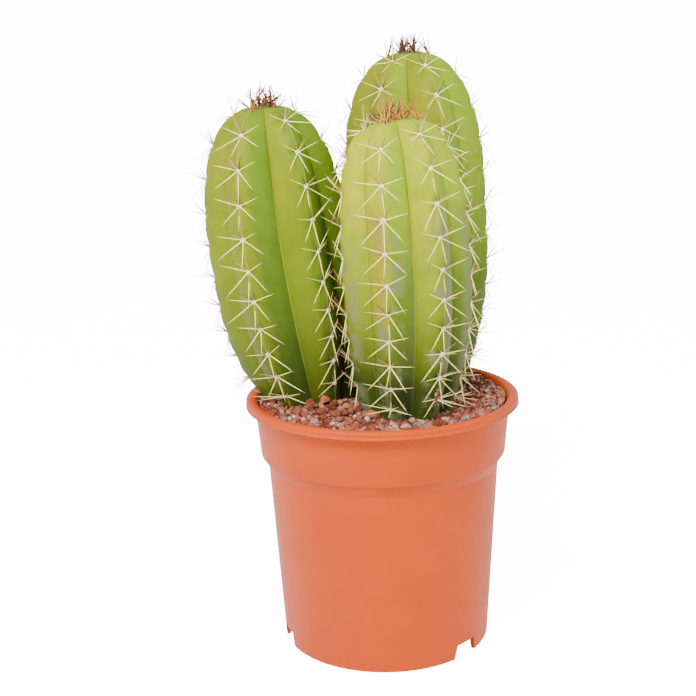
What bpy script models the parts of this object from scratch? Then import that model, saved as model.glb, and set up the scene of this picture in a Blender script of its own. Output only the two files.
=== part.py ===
# A column cactus in a plastic nursery pot: three ribbed stems with their spines,
# standing in a filling of lava grit. Metres, +Z up. The pieces are modelled round the
# pot's own axis and hang on one empty, which moves them so that the origin lies on the
# ground under the middle of the whole plant.

import math
import random

import bmesh
import bpy
from mathutils import Vector

# The pot, of the common 17 cm size
RIM_RADIUS = 0.085
RIM_INNER_RADIUS = 0.0785
POT_HEIGHT = 0.158
LIP_TOP = 0.1565
LIP_BOTTOM = 0.1530
BAND_TOP_RADIUS = 0.0786
BAND_LOW_RADIUS = 0.0757
BAND_BOTTOM = 0.1218
WALL_TOP_RADIUS = 0.0713
WALL_TOP = 0.1145
BASE_RADIUS = 0.0652
WALL = 0.0016
FOOT_WIDTH = 0.0026
FLOOR_UNDERSIDE = 0.0100
FLOOR_THICKNESS = 0.0020
POT_SIDES = 48

# Three notches in the foot ring, and the round drain holes in the floor
NOTCH_DIRECTIONS = (48.5, 168.5, 288.5)
NOTCH_ANGLE = 19.0
NOTCH_HEIGHT = 0.0092
NOTCH_TOP_ANGLE = 14.0
DRAIN_COUNT = 6
DRAIN_FIRST_DIRECTION = 18.5
DRAIN_CIRCLE_RADIUS = 0.044
DRAIN_RADIUS = 0.0045

# The filling
SOIL_LEVEL = 0.1515
GAP = 0.0003
PEBBLE_COUNT = 56
PEBBLE_RADII = (0.0026, 0.0052)
PEBBLE_SPACING = 0.0078
PEBBLE_TRIES = 6000
PEBBLE_REACH = 1.3
PEBBLE_CLEARANCE = 0.001
PEBBLE_SINKS = (0.05, 0.25)
PEBBLE_SQUASH = ((0.85, 1.15), (0.75, 1.00), (0.60, 0.85))
PEBBLE_ROUGHNESS = (0.88, 1.10)

# The stems. Directions are degrees round the pot from its front, +X being 90.
# base and tip are points of the middle line at the soil and at the top, bow is how far
# the line bends off the straight at half height, and ribs are the crests' directions.
STEMS = {
    "column_left": {
        "base": (-0.0440, 0.0090),
        "tip": (-0.0688, 0.0220, 0.3345),
        "bow": (-0.0043, 0.0025),
        "radius": 0.0448,
        "foot_share": 0.62,
        "widest_at": 0.37,
        "dome_from": 0.48,
        "dome_power": 2.6,
        "ribs": (-90, -24, 35, 90, 151, 211),
        "colour": (0.36, 0.48, 0.07, 1.0),
    },
    "column_front": {
        "base": (0.0146, -0.0140),
        "tip": (0.0095, -0.0140, 0.3255),
        "bow": (0.0042, -0.0050),
        "radius": 0.0390,
        "foot_share": 0.72,
        "widest_at": 0.46,
        "dome_from": 0.37,
        "dome_power": 3.4,
        "ribs": (-82, -19, 32, 88, 163, 220),
        "colour": (0.44, 0.55, 0.10, 1.0),
    },
    "column_back": {
        "base": (0.0270, 0.0370),
        "tip": (0.0209, 0.0800, 0.3635),
        "bow": (0.0013, 0.0120),
        "radius": 0.0460,
        "foot_share": 0.58,
        "widest_at": 0.42,
        "dome_from": 0.58,
        "dome_power": 2.5,
        "ribs": (-91, -33, 25, 88, 148, 208),
        "colour": (0.33, 0.45, 0.08, 1.0),
    },
}
FURROW_DEPTH = 0.25
FLANK_BULGE = 0.032
FLANK_POINTS = (0.42,)
STEM_RINGS = (8, 13)
CREST_STEPS = (30, 50)
BURIED_DEPTH = 0.032
BURIED_RINGS = ((0.40, 0.93), (0.75, 0.76), (1.00, 0.48))
RIM_CLEAR_RADIUS = 0.0765
RIM_CLEAR_HEIGHT = 0.1590
RIM_CLEAR_SLOPE = 1.3

# The areoles along each crest, and the spines that stand in them
AREOLE_START = 0.010
AREOLE_STEP_LOW = 0.015
AREOLE_STEP_HIGH = 0.0215
AREOLE_STEP_GROWS_OVER = 0.11
AREOLE_STEP_LEAST = 0.0065
AREOLE_TIP_CLOSING = 0.55
SPINE_LENGTHS = (0.0150, 0.0205)
SPINE_TIP_LENGTHS = (0.0110, 0.0150)
SPINE_RADIUS = 0.00075
SPINE_ROOT_DEPTH = 0.0030
SPINE_SPREAD = (9, 6)
SPINE_TIP_AREOLES = 3
SPINE_CLEARANCE = 0.0022
SPINE_BENDS = 4
SPINE_BEND = (0.50, 0.15)
SPINE_TESTED_AT = (0.3, 0.45, 0.6, 0.75, 0.9, 1.0)
SPINE_OVER_RIM = 0.0035
# (turn from straight up along the rib, lean out from the rib), both in degrees
SPINE_SETS = (
    ((78, 26), (-78, 26)),
    ((128, 28), (180, 54)),
    ((-128, 28), (0, 60)),
)

# From the pot's axis to the middle of the whole plant
PLANT_MIDDLE = (-0.0167, 0.0239)

SEED = 17


def remove_everything():
    for thing in list(bpy.data.objects):
        bpy.data.objects.remove(thing, do_unlink=True)


def material(name, colour, roughness):
    """A Principled material in one colour."""
    made = bpy.data.materials.new(name)
    made.use_nodes = True
    shader = made.node_tree.nodes["Principled BSDF"]
    shader.inputs["Base Color"].default_value = colour
    shader.inputs["Roughness"].default_value = roughness
    shader.inputs["Metallic"].default_value = 0.0
    made.diffuse_color = colour
    return made


def object_from(name, points, faces, finish=None):
    """An object of the given points and faces, with its faces turned outwards."""
    mesh = bpy.data.meshes.new(name)
    mesh.from_pydata(points, [], faces)
    shape = bmesh.new()
    shape.from_mesh(mesh)
    bmesh.ops.recalc_face_normals(shape, faces=shape.faces[:])
    shape.to_mesh(mesh)
    shape.free()
    if finish:
        mesh.materials.append(finish)
    thing = bpy.data.objects.new(name, mesh)
    bpy.context.scene.collection.objects.link(thing)
    return thing


def shade_round(thing, angle=35):
    thing.data.shade_smooth()
    thing.data.set_sharp_from_angle(angle=math.radians(angle))


def hide_as_cutter(thing):
    thing.hide_render = True
    thing.display_type = "WIRE"


def apply_modifiers(thing):
    bpy.context.view_layer.objects.active = thing
    for modifier in list(thing.modifiers):
        bpy.ops.object.modifier_apply(modifier=modifier.name)


def fuse(body, pieces):
    """One Boolean union of the body with a collection of pieces, which then go."""
    collection = bpy.data.collections.new(body.name + "_pieces")
    bpy.context.scene.collection.children.link(collection)
    for piece in pieces:
        for holder in list(piece.users_collection):
            holder.objects.unlink(piece)
        collection.objects.link(piece)
    union = body.modifiers.new("fuse", "BOOLEAN")
    union.operation = "UNION"
    union.operand_type = "COLLECTION"
    union.collection = collection
    union.solver = "MANIFOLD"
    apply_modifiers(body)
    for piece in pieces:
        bpy.data.objects.remove(piece, do_unlink=True)
    bpy.data.collections.remove(collection)


def around(direction):
    """The unit vector at a direction in degrees from the front, +X being 90."""
    turn = math.radians(direction)
    return Vector((math.sin(turn), -math.cos(turn), 0.0))


def turned_solid(name, profile, finish):
    """A solid of revolution: the (radius, height) profile runs down its outer side."""
    mesh = bpy.data.meshes.new(name)
    edges = [(i, i + 1) for i in range(len(profile) - 1)]
    mesh.from_pydata([(r, 0.0, z) for r, z in profile], edges, [])
    mesh.materials.append(finish)
    thing = bpy.data.objects.new(name, mesh)
    bpy.context.scene.collection.objects.link(thing)
    turned = thing.modifiers.new("turned", "SCREW")
    turned.axis = "Z"
    turned.steps = POT_SIDES
    turned.render_steps = POT_SIDES
    turned.use_merge_vertices = True
    turned.merge_threshold = 0.00001
    flat_faces = thing.modifiers.new("flat_faces", "TRIANGULATE")
    flat_faces.quad_method = "FIXED"
    apply_modifiers(thing)
    return thing


# Pot


def pot_profile():
    """Half the pot's section: floor, up the inner wall, over the lip, down the outside."""
    floor_top = FLOOR_UNDERSIDE + FLOOR_THICKNESS
    slope = (WALL_TOP_RADIUS - BASE_RADIUS) / WALL_TOP
    inner_low = BASE_RADIUS + slope * floor_top - WALL
    crown = (RIM_RADIUS + RIM_INNER_RADIUS) / 2
    inside = [
        (0.0, floor_top),
        (inner_low - 0.0015, floor_top),
        (inner_low, floor_top + 0.0015),
        (WALL_TOP_RADIUS - WALL, WALL_TOP + 0.0006),
        (BAND_LOW_RADIUS - WALL, BAND_BOTTOM + 0.0006),
        (BAND_TOP_RADIUS - WALL, LIP_BOTTOM),
    ]
    lip = [
        (RIM_INNER_RADIUS - 0.0008, LIP_TOP - 0.0012),
        (RIM_INNER_RADIUS + 0.0002, LIP_TOP + 0.0005),
        (crown - 0.0010, POT_HEIGHT - 0.0003),
        (crown + 0.0008, POT_HEIGHT),
        (RIM_RADIUS - 0.0010, LIP_TOP + 0.0006),
        (RIM_RADIUS, LIP_TOP - 0.0006),
        (RIM_RADIUS - 0.0001, LIP_BOTTOM + 0.0005),
        (RIM_RADIUS - 0.0008, LIP_BOTTOM - 0.0001),
    ]
    outside = [
        (BAND_TOP_RADIUS + 0.0008, LIP_BOTTOM + 0.0001),
        (BAND_TOP_RADIUS, LIP_BOTTOM - 0.0010),
        (BAND_LOW_RADIUS, BAND_BOTTOM + 0.0008),
        (BAND_LOW_RADIUS - 0.0007, BAND_BOTTOM - 0.0007),
        (WALL_TOP_RADIUS + 0.0006, WALL_TOP + 0.0010),
        (WALL_TOP_RADIUS, WALL_TOP - 0.0010),
        (BASE_RADIUS + 0.0001, 0.0008),
        (BASE_RADIUS - 0.0006, 0.0),
    ]
    underneath = [
        (BASE_RADIUS - FOOT_WIDTH, 0.0),
        (BASE_RADIUS - FOOT_WIDTH, FLOOR_UNDERSIDE),
        (0.0, FLOOR_UNDERSIDE),
    ]
    return inside + lip + outside + underneath


def notch_cutter(name, direction):
    """A wedge through the foot ring, a little narrower at its top."""
    near, far = BASE_RADIUS - 0.012, BASE_RADIUS + 0.012
    points = []
    for height, angle in ((-0.004, NOTCH_ANGLE), (NOTCH_HEIGHT, NOTCH_TOP_ANGLE)):
        for radius, side in ((near, -1), (far, -1), (far, 1), (near, 1)):
            place = around(direction + side * angle / 2) * radius
            points.append((place.x, place.y, height))
    faces = [(0, 1, 2, 3), (4, 5, 6, 7)]
    faces += [(i, (i + 1) % 4, (i + 1) % 4 + 4, i + 4) for i in range(4)]
    cutter = object_from(name, points, faces)
    hide_as_cutter(cutter)
    return cutter


def drain_cutter(name, direction):
    """A rod through the floor."""
    bpy.ops.mesh.primitive_cylinder_add(
        vertices=12,
        radius=DRAIN_RADIUS,
        depth=FLOOR_THICKNESS * 3,
        location=around(direction) * DRAIN_CIRCLE_RADIUS
        + Vector((0, 0, FLOOR_UNDERSIDE + FLOOR_THICKNESS / 2)),
    )
    cutter = bpy.context.object
    cutter.name = name
    hide_as_cutter(cutter)
    return cutter


def build_pot():
    finish = material("terracotta coloured plastic", (0.78, 0.21, 0.09, 1.0), 0.38)
    pot = turned_solid("pot", pot_profile(), finish)
    cutters = [
        notch_cutter(f"notch_cutter_{i}", direction)
        for i, direction in enumerate(NOTCH_DIRECTIONS)
    ]
    cutters += [
        drain_cutter(f"drain_cutter_{i}", DRAIN_FIRST_DIRECTION + 360 * i / DRAIN_COUNT)
        for i in range(DRAIN_COUNT)
    ]
    for cutter in cutters:
        cut = pot.modifiers.new("cut", "BOOLEAN")
        cut.operation = "DIFFERENCE"
        cut.object = cutter
    apply_modifiers(pot)
    for cutter in cutters:
        bpy.data.objects.remove(cutter, do_unlink=True)
    shade_round(pot)
    return pot


# Stems


def middle(stem, share):
    """The point of the stem's middle line at a share of the way from soil to tip."""
    base = Vector((*stem["base"], SOIL_LEVEL))
    bow = Vector((*stem["bow"], 0.0))
    return base.lerp(Vector(stem["tip"]), share) + bow * (4 * share * (1 - share))


def crest_radius(stem, share):
    """The radius over the ribs' crests: slim at the soil, then full, then a dome."""
    body = 1.0
    if share < stem["widest_at"]:
        body -= (1 - stem["foot_share"]) * (1 - share / stem["widest_at"]) ** 2
    dome = max(0.0, (share - stem["dome_from"]) / (1 - stem["dome_from"]))
    power = stem["dome_power"]
    return stem["radius"] * body * max(0.0, 1 - dome**power) ** (1 / power)


def stem_axes(stem, share):
    """Sideways, forwards and along, as unit vectors square to each other."""
    step = 0.002
    along = (middle(stem, share + step) - middle(stem, share - step)).normalized()
    sideways = Vector((1, 0, 0))
    sideways = (sideways - along * sideways.dot(along)).normalized()
    return sideways, sideways.cross(along), along


def clear_of_rim(point, extra=0.0):
    """The flesh lies against the pot's rim, and never in it."""
    reach = math.hypot(point.x, point.y)
    limit = RIM_CLEAR_RADIUS + extra
    limit += max(0.0, point.z - RIM_CLEAR_HEIGHT) * RIM_CLEAR_SLOPE
    if reach <= limit:
        return point
    return Vector((point.x * limit / reach, point.y * limit / reach, point.z))


def section(stem):
    """(direction, share of the crest's radius) of each corner of the ribbed section."""
    ribs = stem["ribs"]
    corners = []
    for i, crest in enumerate(ribs):
        following = ribs[i + 1] if i + 1 < len(ribs) else ribs[0] + 360
        half = (following - crest) / 2
        steps = [0.0, *FLANK_POINTS, 1.0, *reversed(FLANK_POINTS)]
        for k, depth in enumerate(steps):
            near = k <= len(FLANK_POINTS) + 1
            direction = crest + half * (depth if near else 2 - depth)
            bulge = FLANK_BULGE * math.sin(math.pi * depth)
            corners.append((direction, 1 - FURROW_DEPTH * depth + bulge))
    return corners


def ring_point(stem, share, direction, radius, extra=0.0):
    sideways, forwards, _ = stem_axes(stem, share)
    turn = math.radians(direction)
    offset = sideways * math.sin(turn) + forwards * math.cos(turn)
    return clear_of_rim(middle(stem, share) + offset * (radius + extra), extra)


def ring_shares(stem, body_rings, dome_rings):
    """Shares of the stem's length, even along the body and then even round the dome."""
    start = stem["dome_from"]
    shares = [start * i / body_rings for i in range(body_rings)]
    for i in range(dome_rings):
        turn = 0.5 * math.pi * i / dome_rings
        shares.append(start + (1 - start) * math.sin(turn) ** (2 / stem["dome_power"]))
    return shares


def stem_shell(name, stem, extra=0.0, depth=BURIED_DEPTH, finish=None):
    """The ribbed body with its buried foot. extra makes it that much fatter all over."""
    corners = section(stem)
    count = len(corners)
    rings = []
    foot = crest_radius(stem, 0.0)
    base = middle(stem, 0.0)
    for down, share in reversed(BURIED_RINGS):
        ring = []
        for direction, reach in corners:
            place = around(direction) * (foot * share * reach + extra)
            ring.append(base + place - Vector((0, 0, depth * down)))
        rings.append(ring)
    for share in ring_shares(stem, *STEM_RINGS):
        radius = crest_radius(stem, share)
        rings.append(
            [
                ring_point(stem, share, direction, radius * reach, extra)
                for direction, reach in corners
            ]
        )
    points = [point for ring in rings for point in ring]
    faces = [tuple(range(count))]
    for level in range(len(rings) - 1):
        low, high = level * count, (level + 1) * count
        for i in range(count):
            j = (i + 1) % count
            faces.append((low + i, low + j, high + j))
            faces.append((low + i, high + j, high + i))
    top = len(points)
    points.append(Vector(stem["tip"]) + Vector((0, 0, extra)))
    last = (len(rings) - 1) * count
    faces += [(last + i, last + (i + 1) % count, top) for i in range(count)]
    return object_from(name, points, faces, finish)


def crest_line(stem, rib):
    """(share of the stem's length, point) along one crest, from the soil to the tip."""
    line = []
    for share in [*ring_shares(stem, *CREST_STEPS), 1.0]:
        line.append((share, ring_point(stem, share, rib, crest_radius(stem, share))))
    return line


def areoles(stem, rib, phase):
    """(point, outward, upward) of each areole: wide apart on the body, close at the tip."""
    line = crest_line(stem, rib)
    reached = [0.0]
    for (_, a), (_, b) in zip(line, line[1:]):
        reached.append(reached[-1] + (b - a).length)
    whole = reached[-1]
    found = []
    place = AREOLE_START + AREOLE_STEP_LOW * phase
    k = 0
    while place < whole - AREOLE_STEP_LEAST:
        while reached[k + 1] < place:
            k += 1
        (share, below), (_, above) = line[k], line[k + 1]
        upward = (above - below).normalized()
        outward = below - middle(stem, share)
        outward = (outward - upward * outward.dot(upward)).normalized()
        part = (place - reached[k]) / (reached[k + 1] - reached[k])
        found.append((below.lerp(above, part), outward, upward))
        grown = min(1.0, place / AREOLE_STEP_GROWS_OVER)
        step = AREOLE_STEP_LOW + (AREOLE_STEP_HIGH - AREOLE_STEP_LOW) * grown
        closing = max(AREOLE_STEP_LEAST, AREOLE_TIP_CLOSING * (whole - place))
        place += min(step, closing)
    return found


def gap_to_stem(stem, point, steps=40):
    """How far a point lies outside the round hull of a stem, negative inside it."""
    nearest = 1.0
    for i in range(steps + 1):
        share = i / steps
        away = (point - middle(stem, share)).length - crest_radius(stem, share)
        nearest = min(nearest, away)
    return nearest


def has_room(name, point):
    """Whether a spine of one stem may pass here: clear of soil, rim and other stems."""
    reach = math.hypot(point.x, point.y)
    over_soil = SOIL_LEVEL + PEBBLE_RADII[1] + SPINE_CLEARANCE
    if reach < RIM_RADIUS + SPINE_OVER_RIM and point.z < over_soil:
        return False
    own = max(0.0, gap_to_stem(STEMS[name], point))
    for other, stem in STEMS.items():
        if other != name and gap_to_stem(stem, point) < own + SPINE_CLEARANCE:
            return False
    return True


def spine(name, root, heading, length, number):
    """A three-sided needle, its root sunk in the rib."""
    start = root - heading * SPINE_ROOT_DEPTH
    aside = heading.orthogonal().normalized()
    across = heading.cross(aside)
    points = [root + heading * length]
    for i in range(3):
        turn = 2 * math.pi * i / 3 + number
        points.append(
            start + (aside * math.cos(turn) + across * math.sin(turn)) * SPINE_RADIUS
        )
    return object_from(name, points, [(1, 2, 3), (0, 1, 2), (0, 2, 3), (0, 3, 1)])


def stem_spines(name, draw):
    """The needles of one stem, bent up where they would meet a neighbour, or left out."""
    stem = STEMS[name]
    pieces = []
    for i, rib in enumerate(stem["ribs"]):
        spots = areoles(stem, rib, 0.5 * (i % 2))
        for k, (root, outward, upward) in enumerate(spots):
            sideways = upward.cross(outward)
            near_tip = k >= len(spots) - SPINE_TIP_AREOLES
            low, high = SPINE_TIP_LENGTHS if near_tip else SPINE_LENGTHS
            for turn, lean in SPINE_SETS[(i + k) % len(SPINE_SETS)]:
                turned = math.radians(turn + SPINE_SPREAD[0] * draw.uniform(-1, 1))
                leant = math.radians(lean + SPINE_SPREAD[1] * draw.uniform(-1, 1))
                flat = upward * math.cos(turned) + sideways * math.sin(turned)
                heading = flat * math.cos(leant) + outward * math.sin(leant)
                length = draw.uniform(low, high)
                for _ in range(SPINE_BENDS):
                    heading.normalize()
                    along = [root + heading * (length * far) for far in SPINE_TESTED_AT]
                    if all(has_room(name, point) for point in along):
                        label = f"{name}_spine_{len(pieces)}"
                        pieces.append(spine(label, root, heading, length, len(pieces)))
                        break
                    heading = heading + upward * SPINE_BEND[0] + outward * SPINE_BEND[1]
    return pieces


def build_stem(name, draw):
    stem = STEMS[name]
    finish = material(name.replace("_", " ") + " skin", stem["colour"], 0.5)
    body = stem_shell(name, stem, finish=finish)
    fuse(body, stem_spines(name, draw))
    shade_round(body, 30)
    return body


# Filling


def pebble(name, place, radius, draw):
    """A rough grain: an icosahedron, unevenly squashed and turned."""
    bpy.ops.mesh.primitive_ico_sphere_add(subdivisions=1, radius=radius)
    grain = bpy.context.object
    grain.name = name
    squash = [draw.uniform(*limits) for limits in PEBBLE_SQUASH]
    turn = draw.uniform(0, 2 * math.pi)
    for vertex in grain.data.vertices:
        rough = draw.uniform(*PEBBLE_ROUGHNESS)
        x, y, z = (vertex.co[i] * squash[i] * rough for i in range(3))
        vertex.co = (
            place.x + x * math.cos(turn) - y * math.sin(turn),
            place.y + x * math.sin(turn) + y * math.cos(turn),
            place.z + z,
        )
    return grain


def pebbles(draw):
    """Grains on the open soil, apart from each other, the pot's wall and the stems."""
    grains, places = [], []
    for _ in range(PEBBLE_TRIES):
        if len(grains) == PEBBLE_COUNT:
            break
        radius = draw.uniform(*PEBBLE_RADII)
        away = BAND_TOP_RADIUS * math.sqrt(draw.random())
        place = around(draw.uniform(0, 360)) * away
        place.z = SOIL_LEVEL - radius * draw.uniform(*PEBBLE_SINKS)
        room = radius * PEBBLE_REACH
        if away > BAND_TOP_RADIUS - WALL - room:
            continue
        if any((place - other).length < PEBBLE_SPACING for other in places):
            continue
        room += PEBBLE_CLEARANCE
        if any(gap_to_stem(stem, place) < room for stem in STEMS.values()):
            continue
        places.append(place)
        grains.append(pebble(f"pebble_{len(grains)}", place, radius, draw))
    return grains


def build_soil(draw):
    """The filling: the pot's inside less a gap, with holes for the stems and grains on top."""
    slope = (WALL_TOP_RADIUS - BASE_RADIUS) / WALL_TOP
    bottom = FLOOR_UNDERSIDE + FLOOR_THICKNESS + GAP
    low = BASE_RADIUS + slope * bottom - WALL - GAP * 2
    outline = [
        (0.0, SOIL_LEVEL),
        (BAND_TOP_RADIUS - WALL - 0.0040, SOIL_LEVEL),
        (BAND_TOP_RADIUS - WALL - GAP * 2, SOIL_LEVEL - 0.0010),
        (BAND_LOW_RADIUS - WALL - GAP * 2, BAND_BOTTOM + 0.0006),
        (WALL_TOP_RADIUS - WALL - GAP * 2, WALL_TOP + 0.0006),
        (low, bottom + 0.0020),
        (low - 0.0020, bottom),
        (0.0, bottom),
    ]
    soil = turned_solid("soil", outline, material("lava grit", (0.30, 0.16, 0.11, 1.0), 0.9))
    fuse(soil, pebbles(draw))
    for name, stem in STEMS.items():
        cutter = stem_shell(name + "_hole", stem, GAP * 1.5, BURIED_DEPTH + GAP * 2)
        hide_as_cutter(cutter)
        hole = soil.modifiers.new("hole", "BOOLEAN")
        hole.operation = "DIFFERENCE"
        hole.object = cutter
        apply_modifiers(soil)
        bpy.data.objects.remove(cutter, do_unlink=True)
    return soil


remove_everything()
draw = random.Random(SEED)
pieces = [build_pot(), build_soil(draw)]
pieces += [build_stem(name, draw) for name in STEMS]

plant = bpy.data.objects.new("plant", None)
bpy.context.scene.collection.objects.link(plant)
plant.location = (-PLANT_MIDDLE[0], -PLANT_MIDDLE[1], 0.0)
for piece in pieces:
    piece.parent = plant
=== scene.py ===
# A column cactus in a terracotta coloured nursery pot, as it would stand in a bright
# photo studio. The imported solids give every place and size; the pieces below stand for
# them with fine ribs, wool, spines and grit. Metres, +Z up, and the photograph's side is -Y.

import math
import random

import bpy
import numpy as np
from mathutils import Matrix, Vector


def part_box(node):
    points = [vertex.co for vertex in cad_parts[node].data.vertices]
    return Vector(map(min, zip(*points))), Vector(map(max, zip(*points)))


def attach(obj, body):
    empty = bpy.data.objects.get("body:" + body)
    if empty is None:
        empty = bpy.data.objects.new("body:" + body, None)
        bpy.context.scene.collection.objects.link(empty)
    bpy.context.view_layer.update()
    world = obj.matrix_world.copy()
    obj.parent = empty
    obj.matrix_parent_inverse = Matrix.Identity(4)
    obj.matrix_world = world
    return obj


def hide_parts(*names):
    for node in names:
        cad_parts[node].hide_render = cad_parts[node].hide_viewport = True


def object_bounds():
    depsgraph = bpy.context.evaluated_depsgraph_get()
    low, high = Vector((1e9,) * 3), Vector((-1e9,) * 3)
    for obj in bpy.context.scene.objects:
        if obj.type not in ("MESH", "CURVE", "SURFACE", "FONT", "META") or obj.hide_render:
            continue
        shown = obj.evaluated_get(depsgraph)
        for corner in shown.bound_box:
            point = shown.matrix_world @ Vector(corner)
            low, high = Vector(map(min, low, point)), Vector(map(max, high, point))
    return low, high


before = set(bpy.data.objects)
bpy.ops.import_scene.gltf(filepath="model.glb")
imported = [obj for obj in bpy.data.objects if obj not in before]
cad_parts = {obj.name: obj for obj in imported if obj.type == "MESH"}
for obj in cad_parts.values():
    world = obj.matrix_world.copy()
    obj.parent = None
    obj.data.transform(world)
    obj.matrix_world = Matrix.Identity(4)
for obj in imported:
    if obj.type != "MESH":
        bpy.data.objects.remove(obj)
cad_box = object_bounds()

# Studio. The camera looks a little down at the rim from about three quarters of a metre,
# and is held a touch askew, as the pot's rim shows.
pot_low, pot_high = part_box("pot")
POT_AXIS = Vector(((pot_low.x + pot_high.x) / 2, (pot_low.y + pot_high.y) / 2, 0.0))
CAMERA_PLACE = Vector((0.0, -0.763, 0.371))
CAMERA_TURN = (76.405, 1.487, 1.170)
CAMERA_LENS = 65.61

bpy.ops.object.camera_add(
    location=POT_AXIS + CAMERA_PLACE,
    rotation=[math.radians(angle) for angle in CAMERA_TURN],
)
camera = bpy.context.object
camera.data.lens = CAMERA_LENS
camera.data.sensor_width = 36.0
bpy.context.scene.camera = camera


def linear(code):
    """A sRGB hex colour as the linear RGBA that Blender's sockets take."""
    channels = [int(code[i : i + 2], 16) / 255 for i in (1, 3, 5)]
    curve = [c / 12.92 if c <= 0.04045 else ((c + 0.055) / 1.055) ** 2.4 for c in channels]
    return (*curve, 1.0)


def add_node(tree, kind, settings=None, inputs=None, stops=None):
    """A node with its settings, its inputs' values or links, and a ramp's colour stops."""
    node = tree.nodes.new(kind)
    for name, value in (settings or {}).items():
        setattr(node, name, value)
    for key, value in (inputs or {}).items():
        if isinstance(value, bpy.types.NodeSocket):
            tree.links.new(value, node.inputs[key])
        else:
            node.inputs[key].default_value = value
    if stops:
        elements = node.color_ramp.elements
        while len(elements) < len(stops):
            elements.new(1.0)
        for element, (position, colour) in zip(elements, stops):
            element.position = position
            element.color = colour
    return node


def new_finish(name):
    """A material, its node tree and its Principled shader."""
    made = bpy.data.materials.new(name)
    made.use_nodes = True
    return made, made.node_tree, made.node_tree.nodes["Principled BSDF"]


# White card sweep: matt, so it only lifts the shadows and shows no reflection.
card, tree, shader = new_finish("white studio card")
shader.inputs["Base Color"].default_value = linear("#F4F3F1")
shader.inputs["Roughness"].default_value = 0.9
shader.inputs["Specular IOR Level"].default_value = 0.2

FLOOR_SIZE = 9.0
SWEEP_HEIGHT = 4.0
SWEEP_RADIUS = 1.6
bpy.ops.object.select_all(action="DESELECT")
bpy.ops.mesh.primitive_plane_add(size=FLOOR_SIZE, location=(0, 0, -0.0001))
floor = bpy.context.object
floor.name = "studio_sweep"
bpy.ops.object.transform_apply(location=True)
bpy.ops.object.mode_set(mode="EDIT")
bpy.ops.mesh.select_all(action="DESELECT")
bpy.ops.object.mode_set(mode="OBJECT")
for edge in floor.data.edges:
    ends = [floor.data.vertices[i].co.y for i in edge.vertices]
    edge.select = min(ends) > 0
bpy.ops.object.mode_set(mode="EDIT")
bpy.ops.mesh.select_mode(type="EDGE")
bpy.ops.mesh.extrude_region_move(TRANSFORM_OT_translate={"value": (0, 0, SWEEP_HEIGHT)})
bpy.ops.object.mode_set(mode="OBJECT")
for edge in floor.data.edges:
    ends = [floor.data.vertices[i].co for i in edge.vertices]
    edge.select = min(p.y for p in ends) > 0 and max(p.z for p in ends) < 0.1
bpy.ops.object.mode_set(mode="EDIT")
bpy.ops.mesh.bevel(offset=SWEEP_RADIUS, segments=16, affect="EDGES")
bpy.ops.object.mode_set(mode="OBJECT")
bpy.ops.object.shade_smooth()
floor.data.materials.append(card)

# The camera sees a lit sheet of paper just over the card, which throws no light itself
paper, tree, shader = new_finish("lit backdrop paper")
shader.inputs["Base Color"].default_value = linear("#F4F3F1")
shader.inputs["Roughness"].default_value = 0.9
shader.inputs["Specular IOR Level"].default_value = 0.2
shader.inputs["Emission Color"].default_value = linear("#FFFFFF")
shader.inputs["Emission Strength"].default_value = 13.0
backdrop = floor.copy()
backdrop.data = floor.data.copy()
backdrop.name = "lit_backdrop"
backdrop.data.materials[0] = paper
bpy.context.scene.collection.objects.link(backdrop)
for vertex in floor.data.vertices:
    vertex.co.y += 0.002
    vertex.co.z -= 0.001
floor.visible_camera = False
backdrop.visible_diffuse = False
backdrop.visible_glossy = False
backdrop.visible_transmission = False
backdrop.visible_shadow = False

world = bpy.data.worlds.new("white room")
bpy.context.scene.world = world
world.use_nodes = True
surround = world.node_tree.nodes["Background"]
surround.inputs["Color"].default_value = linear("#FFFFFF")
surround.inputs["Strength"].default_value = 1.08

LIGHTS = {
    "front_softbox": ((-0.35, -1.10, 1.50), 0.55, 55.0),
    "left_softbox": ((-1.40, -0.60, 0.90), 0.9, 17.0),
    "right_softbox": ((1.40, -0.70, 0.80), 1.2, 17.0),
}
LIGHT_TARGET = Vector((0.0, 0.0, 0.20))
for name, (place, size, power) in LIGHTS.items():
    bpy.ops.object.light_add(type="AREA", location=POT_AXIS + Vector(place))
    lamp = bpy.context.object
    lamp.name = name
    lamp.data.shape = "DISK"
    lamp.data.size = size
    lamp.data.energy = power
    aim = POT_AXIS + LIGHT_TARGET - lamp.location
    lamp.rotation_euler = aim.to_track_quat("-Z", "Y").to_euler()


# Pot. One injection moulding in terracotta coloured polypropylene: a turned lip, an upper
# band, a step and a tapered wall, with three notches in the foot ring to let water out.
RIM_RADIUS = 0.085
RIM_INNER_RADIUS = 0.0785
POT_HEIGHT = 0.158
LIP_TOP = 0.1565
LIP_BOTTOM = 0.1530
BAND_TOP_RADIUS = 0.0786
BAND_LOW_RADIUS = 0.0757
BAND_BOTTOM = 0.1218
WALL_TOP_RADIUS = 0.0713
WALL_TOP = 0.1145
SWELL = 0.0007
BASE_RADIUS = 0.0652
WALL = 0.0016
FOOT_WIDTH = 0.0026
FLOOR_UNDERSIDE = 0.0100
FLOOR_THICKNESS = 0.0020
POT_SIDES = 144
CORNER_ROUND = 0.0009
NOTCH_DIRECTIONS = (48.5, 168.5, 288.5)
NOTCH_ANGLE = 19.0
NOTCH_HEIGHT = 0.0092
NOTCH_TOP_ANGLE = 14.0
DRAIN_COUNT = 6
DRAIN_FIRST_DIRECTION = 18.5
DRAIN_CIRCLE_RADIUS = 0.044
DRAIN_RADIUS = 0.0045


def around(direction):
    """The unit vector at a direction in degrees from the front, +X being 90."""
    turn = math.radians(direction)
    return Vector((math.sin(turn), -math.cos(turn), 0.0))


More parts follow.
